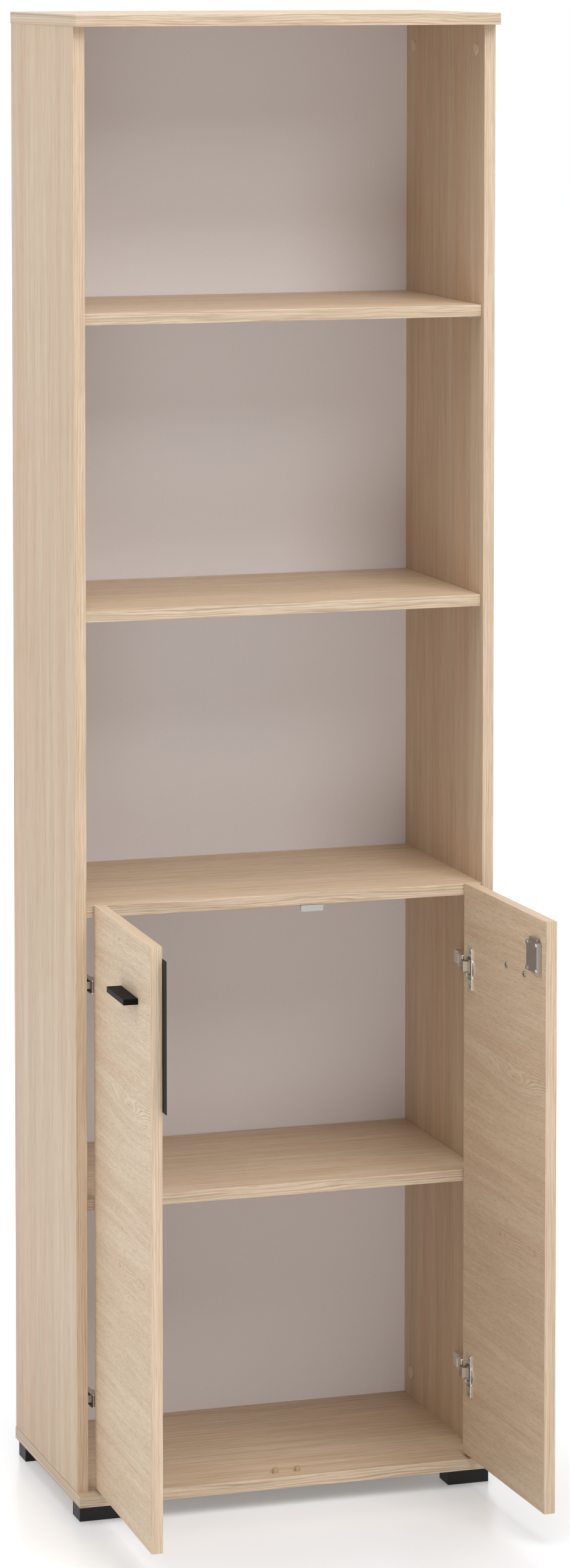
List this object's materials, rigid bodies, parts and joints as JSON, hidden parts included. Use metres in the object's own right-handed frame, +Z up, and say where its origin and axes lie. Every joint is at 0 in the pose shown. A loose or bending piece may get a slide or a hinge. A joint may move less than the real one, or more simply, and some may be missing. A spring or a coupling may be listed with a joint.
{
  "type": "bookcase with cabinet doors",
  "caption": "Tall free-standing bookcase: open shelves above a cabinet with hinged lockable doors, on low block feet.",
  "frame": {"origin": "on the floor, at mid width, in the plane of the side panels' front edges", "axes": "+X to the right seen from the front, +Y from the front to the back, +Z up"},
  "size_m": [0.602, 0.6366, 2.0465],
  "materials": {
    "oak_upright": "satin printed oak decor, grain upright",
    "oak_level": "satin printed oak decor, grain across",
    "oak_door": "satin printed oak decor, bold grain across",
    "oak_edge": "oak-printed edge band",
    "back_board": "light grey lacquered hardboard",
    "black_plastic": "moulded, matte",
    "black_handle": "matte black powder coat",
    "black_strip": "extruded, matte",
    "zinc_steel": "zinc plated",
    "nickel_hinge": "satin nickel plated",
    "nickel_lock": "satin nickel plated",
    "zinc_cast": "die-cast zinc",
    "dowel_wood": "fluted beech",
    "cap_plastic": "moulded, colour of the board",
    "stop_plastic": "moulded, matte"
  },
  "bodies": {
    "carcass": {"left_side_panel": "oak_upright", "right_side_panel": "oak_upright", "top_panel": "oak_level", "bottom_panel": "oak_level", "fixed_shelf": "oak_level", "upper_shelf": "oak_level", "middle_shelf": "oak_level", "cabinet_shelf": "oak_level", "back_panel": "back_board", "side_edge_bands": "oak_edge", "top_edge_bands": "oak_edge", "bottom_edge_bands": "oak_edge", "fixed_shelf_edge_band": "oak_edge", "loose_shelf_edge_bands": "oak_edge", "upper_shelf_pins": "zinc_steel", "middle_shelf_pins": "zinc_steel", "cabinet_shelf_pins": "zinc_steel", "back_nails": "zinc_steel", "side_cam_locks": "zinc_cast", "side_cam_bolts": "zinc_steel", "cam_cover_caps": "cap_plastic", "shelf_cam_locks": "zinc_cast", "shelf_cam_bolts": "zinc_steel", "wooden_dowels": "dowel_wood", "front_feet": "black_plastic", "rear_feet": "black_plastic", "foot_screws": "zinc_steel", "strike_plate": "zinc_steel", "strike_screws": "zinc_steel", "door_stops": "stop_plastic", "hinge_mounting_plates": "nickel_hinge", "hinge_plate_screws": "zinc_steel", "hinge_arms": "nickel_hinge", "hinge_arm_screws": "zinc_steel", "hinge_arm_pins": "zinc_steel"},
    "left_links": {"left_hinge_links": "nickel_hinge"},
    "left_door": {"left_door": "oak_door", "left_door_edge_bands": "oak_edge", "left_hinge_cups": "nickel_hinge", "left_cup_screws": "zinc_steel", "left_cup_pins": "zinc_steel", "left_handle": "black_handle", "left_handle_screws": "zinc_steel", "overlap_strip": "black_strip", "overlap_strip_screws": "black_strip"},
    "right_links": {"right_hinge_links": "nickel_hinge"},
    "right_door": {"right_door": "oak_door", "right_door_edge_bands": "oak_edge", "right_hinge_cups": "nickel_hinge", "right_cup_screws": "zinc_steel", "right_cup_pins": "zinc_steel", "right_handle": "black_handle", "right_handle_screws": "zinc_steel", "lock_case": "nickel_lock", "lock_cylinder": "nickel_lock", "lock_screws": "zinc_steel"},
    "lock_bolt": {"lock_bolt": "zinc_cast"},
    "lock_plug": {"lock_plug": "nickel_lock"}
  },
  "joints": [
    {"name": "left_link_swing", "type": "hinge", "parent": "carcass", "child": "left_links", "pos_m": [-0.2708, 0.0192, 0.446], "axis": [0, 0, 1], "range_deg": [-52.32, 2.02]},
    {"name": "left_door_swing", "type": "hinge", "parent": "left_links", "child": "left_door", "pos_m": [-0.26164, -0.0095, 0.446], "axis": [0, 0, 1], "range_deg": [-5.5, 143.8]},
    {"name": "right_link_swing", "type": "hinge", "parent": "carcass", "child": "right_links", "pos_m": [0.2708, 0.0192, 0.446], "axis": [0, 0, -1], "range_deg": [-52.32, 2.02]},
    {"name": "right_door_swing", "type": "hinge", "parent": "right_links", "child": "right_door", "pos_m": [0.26164, -0.0095, 0.446], "axis": [0, 0, -1], "range_deg": [-5.5, 143.8]},
    {"name": "lock_bolt_slide", "type": "slide", "parent": "right_door", "child": "lock_bolt", "axis": [0, 0, 1], "range_m": [0, 0.006]},
    {"name": "lock_plug_turn", "type": "hinge", "parent": "right_door", "child": "lock_plug", "pos_m": [0.28066, -0.26248, 0.7945], "axis": [-0.9997, -0.0262, 0], "range_deg": [0, 90.1]}
  ],
  "couplings": [
    {"joint": "left_link_swing", "follows": "left_door_swing", "ratio": -0.3637},
    {"joint": "right_link_swing", "follows": "right_door_swing", "ratio": -0.3637},
    {"joint": "lock_plug_turn", "follows": "lock_bolt_slide", "rad_per_m": 261.8}
  ]
}
